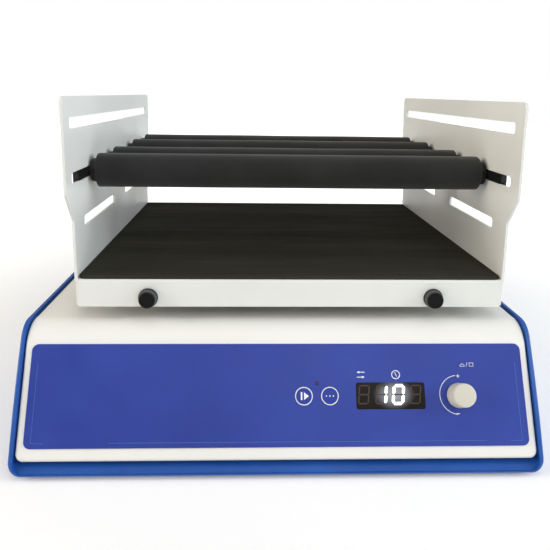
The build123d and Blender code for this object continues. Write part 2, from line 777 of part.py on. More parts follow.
# ================================================================ platform tray
with BuildPart() as platform_tray:
    with BuildSketch(Plane.XY.offset(tray_under)):
        with Locations((rest_x, platform_y)):
            Rectangle(platform_width, platform_depth)
    extrude(amount=sheet)
    for side in (-1, 1):
        with BuildSketch(Plane.XZ.offset(-platform_y - side * (platform_depth / 2))):
            with Locations((rest_x, tray_top - lip_height / 2)):
                Rectangle(platform_width - 2 * lip_inset, lip_height)
        extrude(amount=side * sheet)
        with BuildSketch(Plane.XZ.offset(-platform_y - side * (platform_depth / 2))):
            with Locations((rest_x - thumb_x, thumb_z), (rest_x + thumb_x, thumb_z)):
                Circle(thumb_stud / 2 + screw_gap)
        extrude(amount=side * sheet, mode=Mode.SUBTRACT)
    fillet(platform_tray.edges().filter_by(Axis.X).filter_by_position(
        Axis.Z, tray_top - 0.01, tray_top + 0.01), bend_radius)
    # side plates with their slots
    half = platform_depth / 2
    for side in (-1, 1):
        inner_face = rest_x + side * plate_in
        with BuildSketch(Plane.YZ.offset(inner_face)) as plate_face:
            with BuildLine():
                Polyline(
                    (platform_y - half, tray_under),
                    (platform_y - half, tray_top + plate_step_low),
                    (platform_y - half - plate_overhang, tray_top + plate_step_high),
                    (platform_y - half - plate_overhang, tray_top + plate_height),
                    (platform_y + half + plate_overhang, tray_top + plate_height),
                    (platform_y + half + plate_overhang, tray_top + plate_step_high),
                    (platform_y + half, tray_top + plate_step_low),
                    (platform_y + half, tray_under),
                    close=True,
                )
            make_face()
            corner_rows = plate_face.vertices().group_by(Axis.Y)
            fillet(corner_rows[-1], plate_corner)
            fillet(plate_face.vertices().group_by(Axis.X)[0]
                   .sort_by(Axis.Y)[0], plate_step_round)
            fillet(plate_face.vertices().group_by(Axis.X)[-1]
                   .sort_by(Axis.Y)[0], plate_step_round)
            for z in (upper_slot_z, middle_slot_z):
                with Locations((platform_y, tray_top + z)):
                    RectangleRounded(2 * slot_half_length, slot_height, slot_corner,
                                     mode=Mode.SUBTRACT)
            for end in (-1, 1):
                middle = end * (lower_slot_inner + lower_slot_outer) / 2
                with Locations((platform_y + middle, tray_top + lower_slot_z)):
                    RectangleRounded(lower_slot_outer - lower_slot_inner, slot_height,
                                     slot_corner, mode=Mode.SUBTRACT)
        extrude(amount=side * sheet)
    fillet(platform_tray.edges().filter_by(Axis.Y).filter_by_position(
        Axis.Z, tray_under - 0.01, tray_under + 0.01).filter_by(
        lambda e: abs(e.center().X - rest_x) > plate_out - 0.1), bend_radius - 0.6)
save(platform_tray.part, "platform_tray")

with BuildPart() as grip_mat:
    with BuildSketch(Plane.XY.offset(tray_top)):
        with Locations((rest_x, platform_y)):
            RectangleRounded(2 * (plate_in - mat_side_margin),
                             platform_depth - 2 * mat_end_margin, mat_radius)
    extrude(amount=mat_thickness)
    chamfer(grip_mat.edges().group_by(Axis.Z)[-1], 0.6)
save(grip_mat.part, "grip_mat")

# ================================================================ thumbscrews
def ridged_disc(plane, diameter):
    """Disc on a plane with shallow ridges all round its edge."""
    points = []
    for step in range(2 * thumb_ridges):
        radius = diameter / 2 - ridge_depth * (step % 2)
        angle = pi * step / thumb_ridges
        points.append((radius * cos(angle), radius * sin(angle)))
    with BuildSketch(plane) as disc:
        with BuildLine():
            Polyline(*points, close=True)
        make_face()
    return disc.sketch


for name, side_x, side_y in (("front_left_thumbscrew", -1, -1),
                             ("front_right_thumbscrew", 1, -1),
                             ("rear_left_thumbscrew", -1, 1),
                             ("rear_right_thumbscrew", 1, 1)):
    face_y = platform_y + side_y * platform_depth / 2
    centre = (rest_x + side_x * thumb_x, face_y, thumb_z)
    outward = Plane(origin=centre, x_dir=(1, 0, 0), z_dir=(0, side_y, 0))
    with BuildPart() as thumbscrew:
        with BuildSketch(outward.offset(seat_gap)):
            Circle(thumb_base_diameter / 2)
        extrude(amount=thumb_collar)
        add(ridged_disc(outward.offset(thumb_collar), thumb_base_diameter))
        add(ridged_disc(outward.offset(thumb_length), thumb_face_diameter))
        loft()
        with BuildSketch(outward):
            Circle(thumb_stud / 2)
        extrude(amount=-thumb_stud_length)
        with BuildSketch(outward):
            Circle(thumb_stud / 2)
        extrude(amount=thumb_collar)
    save(thumbscrew.part, name)

# ================================================================ clamp rollers
hub_end = roller_length / 2 + hub_proud
slider_height = slot_height - 2 * slider_slack
spindle_half = plate_out + slider_flange + body_gap - slider_cover
for number, y_along in enumerate(roller_y, start=1):
    axis_y = platform_y + y_along
    across = Plane(origin=(rest_x, axis_y, roller_z), x_dir=(0, 1, 0), z_dir=(1, 0, 0))

    with BuildPart() as spindle:
        with BuildSketch(across):
            Circle(spindle_diameter / 2)
        extrude(amount=spindle_half, both=True)
    save(spindle.part, f"roller_{number}_spindle")

    with BuildPart() as sliders:
        for side in (-1, 1):
            slider_middle = (slider_back - slider_front) / 2
            slider_length = slider_back + slider_front
            with BuildSketch(across.offset(side * (plate_in + body_gap / 2))):
                with Locations((slider_middle, 0)):
                    RectangleRounded(slider_length, slider_height, slot_corner - slider_slack)
            extrude(amount=side * (sheet + body_gap))
            with BuildSketch(across.offset(side * (plate_out + body_gap))):
                with Locations((slider_middle, 0)):
                    RectangleRounded(slider_length, slot_height + 2 * slider_flange_proud,
                                     slot_corner)
            extrude(amount=side * slider_flange)
            with BuildSketch(across.offset(side * plate_in)):
                Circle(spindle_diameter / 2 + running_gap)
            extrude(amount=side * (spindle_half - plate_in + running_gap),
                    mode=Mode.SUBTRACT)
    save(sliders.part, f"roller_{number}_sliders")

    with BuildPart() as sleeve:
        with BuildSketch(across):
            Circle(roller_diameter / 2)
        extrude(amount=roller_length / 2, both=True)
        chamfer(sleeve.edges().filter_by(GeomType.CIRCLE), roller_chamfer)
        with BuildSketch(across):
            Circle(spindle_diameter / 2 + running_gap)
        extrude(amount=roller_length / 2, both=True, mode=Mode.SUBTRACT)
        for side in (-1, 1):
            with BuildSketch(across.offset(side * roller_length / 2)):
                Circle(hub_plug_diameter / 2)
            extrude(amount=-side * hub_plug, mode=Mode.SUBTRACT)
    save(sleeve.part, f"roller_{number}_sleeve")

    with BuildPart() as hubs:
        for side in (-1, 1):
            with BuildSketch(across.offset(side * (roller_length / 2 - hub_plug))):
                Circle(hub_plug_diameter / 2)
            extrude(amount=side * hub_plug)
            with BuildSketch(across.offset(side * roller_length / 2)):
                Circle(hub_diameter / 2)
            with BuildSketch(across.offset(side * hub_end)):
                Circle(hub_diameter / 2 - hub_taper)
            loft()
            with BuildSketch(across.offset(side * (roller_length / 2 - hub_plug))):
                Circle(spindle_diameter / 2 + running_gap)
            extrude(amount=side * (hub_plug + hub_proud), mode=Mode.SUBTRACT)
    save(hubs.part, f"roller_{number}_hubs")

# ================================================================ crank drive
crank_axis = (0, platform_y)
with BuildPart() as crank_housing:
    with BuildSketch(Plane.XY.offset(chassis_top)):
        with Locations(crank_axis):
            Circle(crank_flange / 2)
    extrude(amount=crank_flange_thickness)
    with BuildSketch(Plane.XY.offset(chassis_top)):
        with Locations(crank_axis):
            Circle(crank_housing_diameter / 2)
    extrude(amount=crank_housing_height)
    with BuildSketch(Plane.XY.offset(chassis_top)):
        with Locations(crank_axis):
            Circle(bearing_ring / 2 + running_gap)
    extrude(amount=crank_housing_height, mode=Mode.SUBTRACT)
save(crank_housing.part, "crank_housing")

with BuildPart() as crank_bearings:
    for z in (chassis_top + 1.0, housing_top - bearing_ring_height):
        with BuildSketch(Plane.XY.offset(z)):
            with Locations(crank_axis):
                Circle(bearing_ring / 2)
                Circle(crank_shaft / 2 + running_gap, mode=Mode.SUBTRACT)
        extrude(amount=bearing_ring_height)
save(crank_bearings.part, "crank_bearings")

pin_axis = (rest_x, platform_y)
follower_z = crank_disc_top + 1.0
with BuildPart() as crankshaft:
    with BuildSketch(Plane.XY.offset(chassis_top + 1.0)):
        with Locations(crank_axis):
            Circle(crank_shaft / 2)
    extrude(amount=crank_disc_z - chassis_top - 1.0)
    with BuildSketch(Plane.XY.offset(crank_disc_z)):
        with Locations(crank_axis):
            Circle(crank_disc / 2)
    extrude(amount=crank_disc_thickness)
    with BuildSketch(Plane.XY.offset(crank_disc_top)):
        with Locations(pin_axis):
            Circle(crank_pin / 2 + 2.0)
    extrude(amount=1.0)
    with BuildSketch(Plane.XY.offset(crank_disc_top)):
        with Locations(pin_axis):
            Circle(crank_pin / 2)
    extrude(amount=follower_height + 1.0)
save(crankshaft.part, "crankshaft")

with BuildPart() as follower_bearing:
    with BuildSketch(Plane.XY.offset(follower_z)):
        with Locations(pin_axis):
            Circle(follower_diameter / 2)
            Circle(crank_pin / 2 + running_gap, mode=Mode.SUBTRACT)
    extrude(amount=follower_height)
save(follower_bearing.part, "follower_bearing")


def pulley(axis, diameter, bore):
    """Flanged flat-belt pulley standing on pulley_z, as a builder's part."""
    with BuildPart() as wheel:
        with BuildSketch(Plane.XY.offset(pulley_z)):
            with Locations(axis):
                Circle(diameter / 2)
        extrude(amount=pulley_height)
        for z in (pulley_z, pulley_z + pulley_height - pulley_flange):
            with BuildSketch(Plane.XY.offset(z)):
                with Locations(axis):
                    Circle(diameter / 2 + pulley_rim)
            extrude(amount=pulley_flange)
        if bore:
            with BuildSketch(Plane.XY.offset(pulley_z)):
                with Locations(axis):
                    Circle(bore / 2 + running_gap)
            extrude(amount=pulley_height, mode=Mode.SUBTRACT)
    return wheel


motor_axis = (motor_x, platform_y)
save(pulley(crank_axis, driven_pulley_diameter, crank_shaft).part, "driven_pulley")

motor_base = chassis_top + motor_off_chassis
motor_top = motor_base + motor_height
shaft_bottom = motor_base + motor_height / 3
with BuildPart() as motor_pulley_part:
    add(pulley(motor_axis, motor_pulley_diameter, 0).part)
    with BuildSketch(Plane.XY.offset(shaft_bottom)):
        with Locations(motor_axis):
            Circle(motor_shaft / 2)
    extrude(amount=pulley_z - shaft_bottom)
save(motor_pulley_part.part, "motor_pulley")


def belt_loop(thickness):
    """Closed belt outline round both pulleys, thickness outside their seats."""
    large = driven_pulley_diameter / 2 + thickness
    small = motor_pulley_diameter / 2 + thickness
    tilt = (driven_pulley_diameter - motor_pulley_diameter) / 2 / motor_distance
    rise = sqrt(1 - tilt ** 2)
    with BuildSketch(Plane.XY.offset(pulley_z + (pulley_height - belt_width) / 2)) as loop:
        with Locations(crank_axis):
            Circle(large)
        with Locations(motor_axis):
            Circle(small)
        with BuildLine():
            Polyline(
                (-large * tilt, platform_y + large * rise),
                (motor_x - small * tilt, platform_y + small * rise),
                (motor_x - small * tilt, platform_y - small * rise),
                (-large * tilt, platform_y - large * rise),
                close=True,
            )
        make_face()
    return loop.sketch


with BuildPart() as drive_belt:
    add(belt_loop(body_gap + belt_thickness))
    extrude(amount=belt_width)
    add(belt_loop(body_gap))
    extrude(amount=belt_width, mode=Mode.SUBTRACT)
save(drive_belt.part, "drive_belt")

with BuildPart() as motor:
    with BuildSketch(Plane.XY.offset(motor_base)):
        with Locations(motor_axis):
            Circle(motor_diameter / 2)
    extrude(amount=motor_height)
    chamfer(motor.edges().group_by(Axis.Z)[0], 2.0)
    with BuildSketch(Plane.XY.offset(shaft_bottom)):
        with Locations(motor_axis):
            Circle(motor_shaft / 2 + running_gap)
    extrude(amount=motor_height, mode=Mode.SUBTRACT)
save(motor.part, "motor")

with BuildPart() as motor_bracket:
    with BuildSketch(Plane.XY.offset(motor_top)):
        with Locations(motor_axis):
            RectangleRounded(bracket_size, bracket_size, bracket_leg / 2)
            Circle(motor_shaft / 2 + 2.0, mode=Mode.SUBTRACT)
    extrude(amount=bracket_thickness)
    with BuildSketch(Plane.XY.offset(chassis_top)):
        with Locations(motor_axis):
            with GridLocations(bracket_size - bracket_leg, bracket_size - bracket_leg, 2, 2):
                Circle(bracket_leg / 2)
    extrude(amount=motor_top - chassis_top)
save(motor_bracket.part, "motor_bracket")

# ================================================================ mains inlet and supply
inlet_face = rear_y
with BuildPart() as power_inlet:
    with BuildSketch(Plane.XZ.offset(-inlet_face)):
        with Locations((inlet_x, inlet_z)):
            RectangleRounded(inlet_flange_width, inlet_flange_height, 3.0)
    extrude(amount=inlet_flange_thickness)
    with BuildSketch(Plane.XZ.offset(-inlet_face)):
        with Locations((inlet_x, inlet_z)):
            Rectangle(inlet_body_width, inlet_body_height)
    extrude(amount=inlet_body_depth)
    with BuildSketch(Plane.XZ.offset(-inlet_face)):
        with Locations((inlet_x, inlet_z)):
            Rectangle(inlet_body_width - 2 * inlet_wall, inlet_body_height - 2 * inlet_wall)
    extrude(amount=inlet_cavity_depth, mode=Mode.SUBTRACT)
    with BuildSketch(Plane.XZ.offset(-inlet_face)):
        with Locations((inlet_x - inlet_screw_spacing / 2, inlet_z),
                       (inlet_x + inlet_screw_spacing / 2, inlet_z)):
            Circle(inlet_screw / 2 + screw_gap)
    extrude(amount=inlet_flange_thickness, mode=Mode.SUBTRACT)
    # the three contact pins
    with BuildSketch(Plane.XZ.offset(-inlet_face + inlet_cavity_depth)):
        with Locations((inlet_x - pin_spacing / 2, inlet_z - pin_offset),
                       (inlet_x, inlet_z + pin_offset),
                       (inlet_x + pin_spacing / 2, inlet_z - pin_offset)):
            Rectangle(pin_width, pin_height)
    extrude(amount=-pin_length)
save(power_inlet.part, "power_inlet")

with BuildPart() as inlet_screws:
    with BuildSketch(Plane.XZ.offset(-inlet_face)):
        with Locations((inlet_x - inlet_screw_spacing / 2, inlet_z),
                       (inlet_x + inlet_screw_spacing / 2, inlet_z)):
            Circle(inlet_screw / 2)
    extrude(amount=inlet_screw_length)
save(inlet_screws.part, "inlet_screws")

supply_y = shell_rear_y - shell_wall - supply_gap_behind - supply_depth / 2
with BuildPart() as power_supply:
    with BuildSketch(Plane.XY.offset(floor_z)):
        with Locations((0, supply_y)):
            RectangleRounded(supply_width, supply_depth, 1.5)
    extrude(amount=supply_height)
save(power_supply.part, "power_supply")
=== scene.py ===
from math import cos, pi, radians, sin

import bmesh
import bpy
from mathutils import Matrix, Vector


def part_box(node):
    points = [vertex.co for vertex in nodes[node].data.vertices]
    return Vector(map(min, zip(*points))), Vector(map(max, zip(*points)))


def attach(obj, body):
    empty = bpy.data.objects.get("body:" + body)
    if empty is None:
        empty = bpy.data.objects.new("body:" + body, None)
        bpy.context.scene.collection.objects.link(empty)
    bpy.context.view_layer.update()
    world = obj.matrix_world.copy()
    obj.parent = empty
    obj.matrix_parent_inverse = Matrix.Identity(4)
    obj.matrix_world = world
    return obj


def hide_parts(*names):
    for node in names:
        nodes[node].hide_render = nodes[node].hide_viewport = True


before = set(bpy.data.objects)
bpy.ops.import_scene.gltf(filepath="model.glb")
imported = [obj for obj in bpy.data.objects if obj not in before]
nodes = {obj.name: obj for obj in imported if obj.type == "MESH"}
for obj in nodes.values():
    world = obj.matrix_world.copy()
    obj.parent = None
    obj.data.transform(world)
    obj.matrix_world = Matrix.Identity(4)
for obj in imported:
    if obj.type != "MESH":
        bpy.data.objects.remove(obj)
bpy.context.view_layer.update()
MM = 0.001

# ---------------------------------------------------------------- places, from the frame
# Sizes on the sloped panel are in millimetres: x from the middle, s up the slope.
LEAN = radians(26.8)
FRONT_Y = -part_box("base_tray")[1].y
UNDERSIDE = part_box("base_tray")[0].z
PANEL_LIFT = 1.2
CONTROL_S = 55.5
START_X = 18.2
MODE_X = 37.8
KNOB_X = 135.4
LIT_MIDDLE = (86.5, CONTROL_S + 1.0)    # middle of the lit digits, as (x, s)
ROLLERS = (1, 2, 3, 4)


def on_front(x, s, lift=PANEL_LIFT):
    """Point on the sloped front, x and s and lift in millimetres."""
    y = FRONT_Y + (s * sin(LEAN) - lift * cos(LEAN)) * MM
    z = UNDERSIDE + (s * cos(LEAN) + lift * sin(LEAN)) * MM
    return Vector((x * MM, y, z))


FRONT_AXES = Matrix((
    (1.0, 0.0, 0.0),
    (0.0, sin(LEAN), -cos(LEAN)),
    (0.0, cos(LEAN), sin(LEAN)),
))


# ---------------------------------------------------------------- materials
def srgb(r, g, b):
    """Linear colour of an sRGB colour given in 0 to 255."""
    out = []
    for v in (r, g, b):
        c = v / 255
        out.append(c / 12.92 if c <= 0.04045 else ((c + 0.055) / 1.055) ** 2.4)
    return tuple(out)


def scaled(color, k):
    return tuple(min(1.0, c * k) for c in color) + (1.0,)


def add_node(tree, kind, **inputs):
    node = tree.nodes.new(kind)
    for key, value in inputs.items():
        node.inputs[key.replace("_", " ")].default_value = value
    return node


def vector_math(tree, operation, source, operand=None):
    """Vector maths on a socket; LENGTH takes no operand. Returns the result's socket."""
    node = tree.nodes.new("ShaderNodeVectorMath")
    node.operation = operation
    if operand is not None:
        node.inputs[1].default_value = operand
    tree.links.new(source, node.inputs[0])
    return node.outputs["Value" if operation == "LENGTH" else "Vector"]


def scalar_math(tree, operation, first, second):
    """Scalar maths on two sockets. Returns the result's socket."""
    node = tree.nodes.new("ShaderNodeMath")
    node.operation = operation
    tree.links.new(first, node.inputs[0])
    tree.links.new(second, node.inputs[1])
    return node.outputs["Value"]


def noise(tree, coord, scale, detail=4.0, rough=0.55, stretch=None):
    """Noise texture in the object's own metres; stretch squeezes it along the axes."""
    node = add_node(tree, "ShaderNodeTexNoise", Scale=scale, Detail=detail, Roughness=rough)
    source = coord.outputs["Object"]
    if stretch:
        mapping = tree.nodes.new("ShaderNodeMapping")
        mapping.inputs["Scale"].default_value = stretch
        tree.links.new(source, mapping.inputs["Vector"])
        source = mapping.outputs["Vector"]
    tree.links.new(source, node.inputs["Vector"])
    return node


def spread(tree, source, low, high, start=0.3, end=0.7):
    """Maps a noise's middle range to low..high."""
    node = tree.nodes.new("ShaderNodeMapRange")
    node.inputs["From Min"].default_value = start
    node.inputs["From Max"].default_value = end
    node.inputs["To Min"].default_value = low
    node.inputs["To Max"].default_value = high
    tree.links.new(source, node.inputs["Value"])
    return node


def finish(name, color, rough, metallic=0.0, vary=0.05, patch=18.0, rough_vary=0.08,
           grain=1500.0, bump=0.15, depth=0.00004, stretch=None, coat=0.0, specular=0.5,
           sheen=0.0, tint=None, wear=0.0):
    """Principled material with patchy colour, uneven roughness and a grained surface.

    grain is the bump noise's scale per metre and depth its height in metres. wear lightens
    the edges through the pointiness of the mesh. tint is the second colour of the patches.
    """
    material = bpy.data.materials.new(name)
    material.use_nodes = True
    tree = material.node_tree
    shader = tree.nodes["Principled BSDF"]
    coord = tree.nodes.new("ShaderNodeTexCoord")
    shader.inputs["Metallic"].default_value = metallic
    shader.inputs["Coat Weight"].default_value = coat
    shader.inputs["Coat Roughness"].default_value = 0.12
    shader.inputs["Specular IOR Level"].default_value = specular
    shader.inputs["Sheen Weight"].default_value = sheen

    patches = noise(tree, coord, patch, 5.0, 0.6, stretch)
    mix = tree.nodes.new("ShaderNodeMix")
    mix.data_type = "RGBA"
    mix.inputs[6].default_value = scaled(color, 1.0 - vary)
    mix.inputs[7].default_value = scaled(tint or color, 1.0 + vary)
    factor = spread(tree, patches.outputs["Fac"], 0.0, 1.0)
    tree.links.new(factor.outputs["Result"], mix.inputs["Factor"])
    base = mix.outputs[2]

    fine = noise(tree, coord, grain * 0.35, 3.0, 0.6, stretch)
    speck = tree.nodes.new("ShaderNodeMix")
    speck.data_type = "RGBA"
    speck.blend_type = "MULTIPLY"
    speck.inputs["Factor"].default_value = 1.0
    shade = spread(tree, fine.outputs["Fac"], 1.0 - vary * 0.7, 1.0)
    grey = tree.nodes.new("ShaderNodeCombineColor")
    for channel in ("Red", "Green", "Blue"):
        tree.links.new(shade.outputs["Result"], grey.inputs[channel])
    tree.links.new(base, speck.inputs[6])
    tree.links.new(grey.outputs["Color"], speck.inputs[7])
    base = speck.outputs[2]

    if wear:
        geometry = tree.nodes.new("ShaderNodeNewGeometry")
        edge = spread(tree, geometry.outputs["Pointiness"], 0.0, wear, 0.52, 0.6)
        worn = tree.nodes.new("ShaderNodeMix")
        worn.data_type = "RGBA"
        worn.inputs[7].default_value = scaled(color, 1.8)
        tree.links.new(edge.outputs["Result"], worn.inputs["Factor"])
        tree.links.new(base, worn.inputs[6])
        base = worn.outputs[2]
    tree.links.new(base, shader.inputs["Base Color"])

    smear = noise(tree, coord, patch * 4.0, 4.0, 0.6, stretch)
    roughness = spread(tree, smear.outputs["Fac"], max(0.02, rough - rough_vary),
                       min(1.0, rough + rough_vary))
    tree.links.new(roughness.outputs["Result"], shader.inputs["Roughness"])

    skin = noise(tree, coord, grain, 3.0, 0.5, stretch)
    relief = tree.nodes.new("ShaderNodeBump")
    relief.inputs["Strength"].default_value = bump
    relief.inputs["Distance"].default_value = depth
    tree.links.new(skin.outputs["Fac"], relief.inputs["Height"])
    tree.links.new(relief.outputs["Normal"], shader.inputs["Normal"])
    return material


def glow(name, color, strength):
    """Lit display segment: a pale body that gives light, a little uneven."""
    material = finish(name, color, 0.4, vary=0.02)
    tree = material.node_tree
    shader = tree.nodes["Principled BSDF"]
    shader.inputs["Emission Color"].default_value = (*color, 1.0)
    shader.inputs["Emission Strength"].default_value = strength
    return material


BLOOM_CORE = 0.15       # share of the reach that glows in full


def bloom(material, centre, reach, color):
    """Lets the smoked window glow softly round its lit digits; reach is in metres."""
    tree = material.node_tree
    coord = tree.nodes.new("ShaderNodeTexCoord")
    offset = vector_math(tree, "SUBTRACT", coord.outputs["Object"], centre)
    squeezed = vector_math(tree, "DIVIDE", offset, reach)
    fade = spread(tree, vector_math(tree, "LENGTH", squeezed), 1.0, 0.0, BLOOM_CORE, 1.0)
    fade.interpolation_type = "SMOOTHSTEP"
    shader = tree.nodes["Principled BSDF"]
    shader.inputs["Emission Color"].default_value = (*color, 1.0)
    tree.links.new(fade.outputs["Result"], shader.inputs["Emission Strength"])


blue_plastic = finish("blue_plastic", srgb(28, 80, 164), 0.4, vary=0.05, patch=9.0, grain=900.0,
                      bump=0.22, depth=0.00005, coat=0.1, specular=0.4, tint=srgb(34, 88, 172))
white_plastic = finish("white_plastic", srgb(237, 236, 231), 0.4, vary=0.012, patch=7.0,
                       grain=1400.0, bump=0.12, coat=0.1, tint=srgb(239, 238, 235))
panel_print = finish("panel_print", srgb(44, 62, 150), 0.44, vary=0.05, patch=12.0,
                     grain=700.0, bump=0.3, depth=0.00005, specular=0.25,
                     tint=srgb(50, 70, 160))
key_print = finish("key_print", srgb(42, 60, 150), 0.46, vary=0.05, patch=30.0, grain=700.0,
                   bump=0.25, depth=0.00004, specular=0.25)
white_ink = finish("white_ink", srgb(240, 244, 248), 0.5, vary=0.02, patch=60.0)
faint_ink = finish("faint_ink", srgb(66, 104, 178), 0.5, vary=0.04, patch=60.0)
smoked_window = finish("smoked_window", srgb(27, 24, 23), 0.22, vary=0.1, patch=40.0,
                       grain=400.0, bump=0.04, depth=0.00001, specular=0.1)
bloom(smoked_window, on_front(*LIT_MIDDLE), (0.017, 0.013, 0.012), (0.3, 0.31, 0.36))
dim_segment = finish("dim_segment", srgb(84, 69, 60), 0.5, vary=0.08, patch=200.0,
                     specular=0.1)
lit_segment = glow("lit_segment", (0.95, 0.97, 1.0), 2.2)
lamp_red = finish("lamp_red", srgb(66, 20, 44), 0.4, vary=0.12, patch=300.0, coat=0.1)
knob_plastic = finish("knob_plastic", srgb(210, 207, 194), 0.42, vary=0.02, patch=60.0,
                      grain=1600.0, bump=0.15)
sheet_coat = finish("sheet_coat", srgb(229, 231, 227), 0.42, vary=0.012, patch=8.0,
                    grain=1100.0, bump=0.35, depth=0.00005, tint=srgb(232, 233, 229))
mat_rubber = finish("mat_rubber", srgb(36, 34, 22), 0.66, vary=0.2, patch=22.0, grain=900.0,
                    bump=0.5, depth=0.00012, stretch=(0.12, 1.0, 1.0), rough_vary=0.12,
                    specular=0.3)
foam_rubber = finish("foam_rubber", srgb(30, 30, 29), 0.88, vary=0.16, patch=26.0,
                     grain=1300.0, bump=0.6, depth=0.00012, sheen=0.2, specular=0.22,
                     tint=srgb(38, 39, 38))
black_plastic = finish("black_plastic", srgb(14, 14, 16), 0.45, vary=0.1, patch=60.0,
                       grain=1300.0, bump=0.25, specular=0.35, wear=0.3)
feet_rubber = finish("feet_rubber", srgb(38, 38, 40), 0.82, vary=0.12, patch=40.0,
                     grain=700.0, bump=0.5, depth=0.0001)
bright_steel = finish("bright_steel", srgb(196, 196, 194), 0.26, metallic=1.0, vary=0.05,
                      patch=30.0, grain=900.0, bump=0.12, stretch=(0.1, 1.0, 1.0))
zinc_steel = finish("zinc_steel", srgb(178, 181, 180), 0.36, metallic=1.0, vary=0.1,
                    patch=70.0, grain=600.0, bump=0.2, tint=srgb(190, 186, 170))
cast_alloy = finish("cast_alloy", srgb(188, 190, 193), 0.4, metallic=1.0, vary=0.06,
                    patch=50.0, grain=800.0, bump=0.2, stretch=(0.2, 1.0, 1.0))
black_paint = finish("black_paint", srgb(34, 34, 37), 0.4, vary=0.1, patch=40.0,
                     grain=1000.0, bump=0.25)
board_resin = finish("board_resin", srgb(22, 88, 52), 0.4, vary=0.12, patch=60.0,
                     grain=500.0, bump=0.2, coat=0.3)
belt_rubber = finish("belt_rubber", srgb(30, 30, 30), 0.75, vary=0.1, patch=50.0,
                     grain=900.0, bump=0.3)

NODE_FINISH = {
    "base_tray": blue_plastic, "top_shell": white_plastic, "control_panel": panel_print,
    "display_window": smoked_window, "display_module": black_plastic,
    "control_board": board_resin, "rotary_encoder": zinc_steel, "status_led": lamp_red,
    "rubber_feet": feet_rubber, "foot_screws": zinc_steel, "closing_screws": zinc_steel,
    "chassis_plate": zinc_steel, "guide_rods": bright_steel, "rod_supports": cast_alloy,
    "motor": black_paint, "motor_bracket": cast_alloy, "crank_housing": cast_alloy,
    "crank_bearings": bright_steel, "drive_belt": belt_rubber, "power_supply": zinc_steel,
    "power_inlet": black_plastic, "inlet_screws": zinc_steel, "linear_bearings": cast_alloy,
    "carriage_plate": cast_alloy, "carriage_posts": bright_steel, "carriage_pan": sheet_coat,
    "yoke": bright_steel, "platform_tray": sheet_coat, "crankshaft": bright_steel,
    "driven_pulley": cast_alloy, "follower_bearing": bright_steel, "motor_pulley": cast_alloy,
    "encoder_stem": bright_steel, "start_button": key_print, "mode_button": key_print,
}
for number in ROLLERS:
    NODE_FINISH[f"roller_{number}_spindle"] = bright_steel
    NODE_FINISH[f"roller_{number}_sliders"] = black_plastic
    NODE_FINISH[f"roller_{number}_hubs"] = black_plastic


def dress(obj, material):
    obj.data.materials.clear()
    obj.data.materials.append(material)


for node_name, material in NODE_FINISH.items():
    dress(nodes[node_name], material)


# Painted sheen: a grey band round each thumbscrew's tapered side stands in for its highlight.
SHEEN_BAND_INNER = (0.0014, 0.0011)      # the grey band fades in this far inside the rim, metres
SHEEN_BAND_OUTER = (0.0005, 0.0002)      # and fades out again here


def thumbscrew_with_sheen(node_name):
    """Black plastic for a thumbscrew, with a painted grey sheen in a band round its tapered
    side.
    """
    low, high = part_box(node_name)
    material = finish(f"{node_name}_plastic", srgb(9, 9, 10), 0.62, vary=0.12, patch=90.0,
                      grain=1500.0, bump=0.3, specular=0.16)
    tree = material.node_tree
    shader = tree.nodes["Principled BSDF"]
    coord = tree.nodes.new("ShaderNodeTexCoord")
    offset = vector_math(tree, "SUBTRACT", coord.outputs["Object"], (low + high) / 2)
    across = vector_math(tree, "MULTIPLY", offset, (1.0, 0.0, 1.0))
    radius = vector_math(tree, "LENGTH", across)
    rim = (high.x - low.x) / 2
    inner = spread(tree, radius, 0.0, 1.0, *(rim - edge for edge in SHEEN_BAND_INNER))
    outer = spread(tree, radius, 1.0, 0.0, *(rim - edge for edge in SHEEN_BAND_OUTER))
    sheen_band = scalar_math(tree, "MULTIPLY", inner.outputs["Result"], outer.outputs["Result"])
    sheen_mix = tree.nodes.new("ShaderNodeMix")
    sheen_mix.data_type = "RGBA"
    # painted sheen: grey mixed into the black plastic inside the band
    sheen_mix.inputs[7].default_value = (*srgb(92, 92, 94), 1.0)
    tree.links.new(shader.inputs["Base Color"].links[0].from_socket, sheen_mix.inputs[6])
    tree.links.new(sheen_band, sheen_mix.inputs["Factor"])
    tree.links.new(sheen_mix.outputs[2], shader.inputs["Base Color"])
    dress(nodes[node_name], material)


for corner in ("front_left", "front_right", "rear_left", "rear_right"):
    thumbscrew_with_sheen(f"{corner}_thumbscrew")


# ---------------------------------------------------------------- mesh helpers
def new_piece(name, bm, material, body, smooth_below=None):
    """Turns a bmesh into a piece that rides on a body."""
    bmesh.ops.recalc_face_normals(bm, faces=bm.faces)
    mesh = bpy.data.meshes.new(name)
    bm.to_mesh(mesh)
    bm.free()
    if smooth_below is not None:
        mesh.shade_smooth()
        mesh.set_sharp_from_angle(angle=radians(smooth_below))
    piece = bpy.data.objects.new(name, mesh)
    bpy.context.scene.collection.objects.link(piece)
    mesh.materials.append(material)
    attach(piece, body)
    return piece


